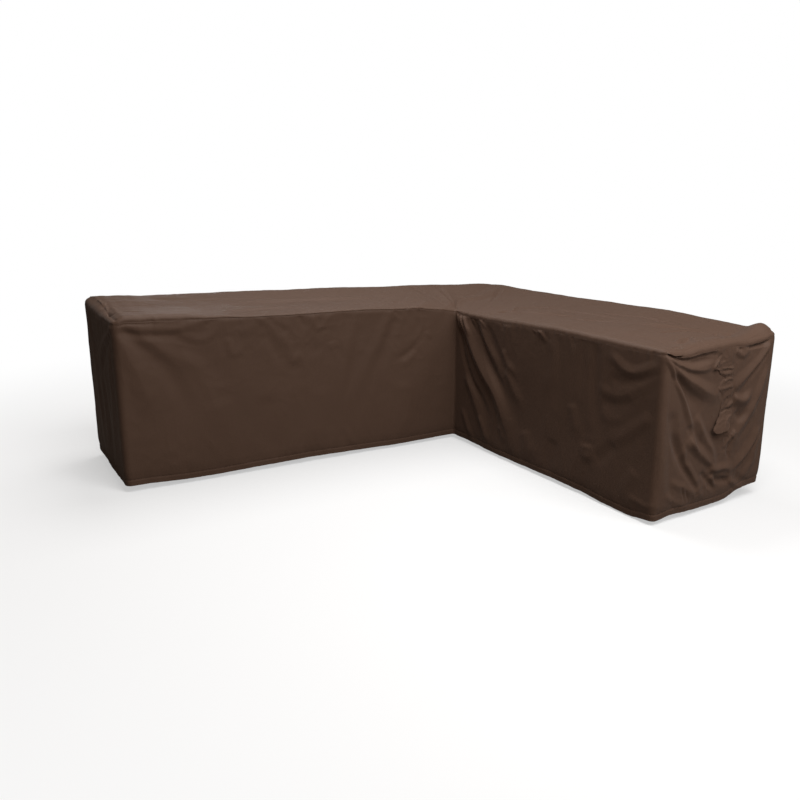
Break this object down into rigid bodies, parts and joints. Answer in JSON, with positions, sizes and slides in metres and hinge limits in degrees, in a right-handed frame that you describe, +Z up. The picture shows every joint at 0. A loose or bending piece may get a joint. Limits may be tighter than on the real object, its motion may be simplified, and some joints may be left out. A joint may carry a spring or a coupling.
{
  "type": "fitted cover for an L-shaped corner bench",
  "caption": "Hollow L-shaped rain cover of coated cloth with a flat top, a hanging skirt with soft folds and a lifted vent flap on one end.",
  "frame": {"origin": "centre of the footprint, at the lowest point of the hem", "axes": "+Z up, the right wing runs towards -Y, the left wing towards -X, and the L opens towards -X and -Y"},
  "size_m": [2.7512, 2.3758, 0.89],
  "materials": {
    "cover_cloth": "dark brown coated woven polyester with a soft satin sheen"
  },
  "bodies": {
    "root": {"top_panel": "cover_cloth", "skirt_inner_right": "cover_cloth", "skirt_outer_right": "cover_cloth", "skirt_outer_left": "cover_cloth", "skirt_inner_left": "cover_cloth", "vent_flap": "cover_cloth"}
  },
  "joints": []
}
